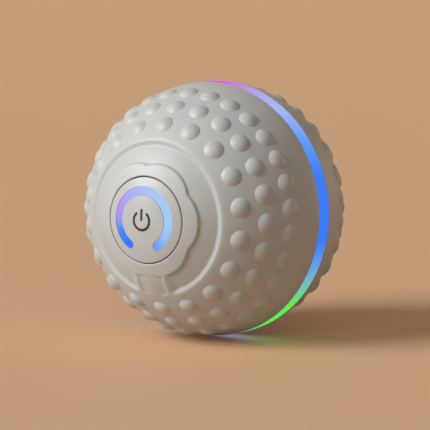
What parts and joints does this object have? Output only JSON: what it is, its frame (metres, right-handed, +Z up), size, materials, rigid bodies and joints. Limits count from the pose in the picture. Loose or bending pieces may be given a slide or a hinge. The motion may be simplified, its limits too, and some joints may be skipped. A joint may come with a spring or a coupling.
{
  "type": "interactive dog ball",
  "caption": "Self-rolling dog ball: a studded rubber skin with a light ring turns round a weighted, motor-driven core that carries the power button and charging port.",
  "frame": {"origin": "centre of the ball, on the axle that the core turns about", "axes": "+Y along the axle from the power button to the charging port, +Z up with the core hanging at rest, +X to the right seen from the button; the light ring lies in the XZ plane"},
  "size_m": [0.077, 0.0768, 0.077],
  "materials": {
    "grip_rubber": "matt warm grey, soft to the touch",
    "plug_rubber": "matt warm grey, soft to the touch",
    "light_band": "translucent diffuser, lit in colours that change round the band",
    "light_guide": "translucent diffuser, lit blue to violet",
    "panel_plastic": "matt warm grey, finely eroded",
    "symbol_ink": "matt black inlay",
    "liner_plastic": "matt dark grey moulding",
    "case_plastic": "matt off-white moulding",
    "white_acetal": "waxy natural acetal",
    "bright_steel": "bright plated steel",
    "weight_steel": "dull zinc-plated steel",
    "cell_wrap": "blue heat-shrink wrap over a metal can",
    "circuit_board": "green solder mask",
    "chip_black": "matt black moulded package",
    "red_lead": "satin insulation",
    "black_lead": "satin insulation"
  },
  "bodies": {
    "shell": {"front_grip_cover": "grip_rubber", "rear_grip_cover": "grip_rubber", "light_ring": "light_band", "front_shell": "liner_plastic", "rear_shell": "liner_plastic", "front_bearing": "white_acetal", "rear_bearing": "white_acetal", "ring_gear": "white_acetal", "ring_screw_1": "bright_steel", "ring_screw_2": "bright_steel", "ring_screw_3": "bright_steel"},
    "core": {"front_core_case": "case_plastic", "rear_core_case": "case_plastic", "case_screw_1": "bright_steel", "case_screw_2": "bright_steel", "case_screw_3": "bright_steel", "case_screw_4": "bright_steel", "motor": "bright_steel", "battery": "cell_wrap", "battery_holder": "liner_plastic", "counterweight": "weight_steel", "main_board": "circuit_board", "control_chip": "chip_black", "motion_sensor": "bright_steel", "battery_connector": "white_acetal", "button_board": "circuit_board", "button_switch": "chip_black", "lamp_strip": "circuit_board", "drive_axle": "bright_steel", "idler_axle": "bright_steel", "rear_cap": "panel_plastic", "charging_socket": "bright_steel", "port_board": "circuit_board", "button_lead_red": "red_lead", "button_lead_black": "black_lead", "battery_lead_red": "red_lead", "battery_lead_black": "black_lead", "motor_lead_red": "red_lead", "motor_lead_black": "black_lead"},
    "power_button": {"button_panel": "panel_plastic", "arc_light_guide": "light_guide", "power_symbol_ring": "symbol_ink", "power_symbol_bar": "symbol_ink", "switch_plunger": "white_acetal"},
    "drive_gear_body": {"drive_gear": "white_acetal"},
    "idler_gear_body": {"idler_gear": "white_acetal"},
    "motor_rotor": {"motor_pinion": "white_acetal", "motor_shaft": "bright_steel"},
    "port_plug_body": {"port_plug": "plug_rubber"}
  },
  "joints": [
    {"name": "core_spin", "type": "hinge", "parent": "shell", "child": "core", "pos_m": [0, 0, 0], "axis": [0, 1, 0], "continuous": true},
    {"name": "button_press", "type": "slide", "parent": "core", "child": "power_button", "axis": [0, 1, 0], "range_m": [0, 0.0005], "stiffness_N_per_m": 900, "springref_m": -0.0012},
    {"name": "drive_gear_spin", "type": "hinge", "parent": "core", "child": "drive_gear_body", "pos_m": [0, 0, -0.0162], "axis": [0, 1, 0], "continuous": true},
    {"name": "idler_gear_spin", "type": "hinge", "parent": "core", "child": "idler_gear_body", "pos_m": [0.009, 0, -0.0162], "axis": [0, 1, 0], "continuous": true},
    {"name": "motor_spin", "type": "hinge", "parent": "core", "child": "motor_rotor", "pos_m": [0.01681, 0, -0.00964], "axis": [0, 1, 0], "continuous": true},
    {"name": "plug_pull", "type": "slide", "parent": "core", "child": "port_plug_body", "axis": [0, 1, 0], "range_m": [0, 0.008]}
  ],
  "couplings": [
    {"joint": "drive_gear_spin", "follows": "core_spin", "ratio": -4},
    {"joint": "idler_gear_spin", "follows": "core_spin", "ratio": 8},
    {"joint": "motor_spin", "follows": "core_spin", "ratio": -19.2}
  ]
}
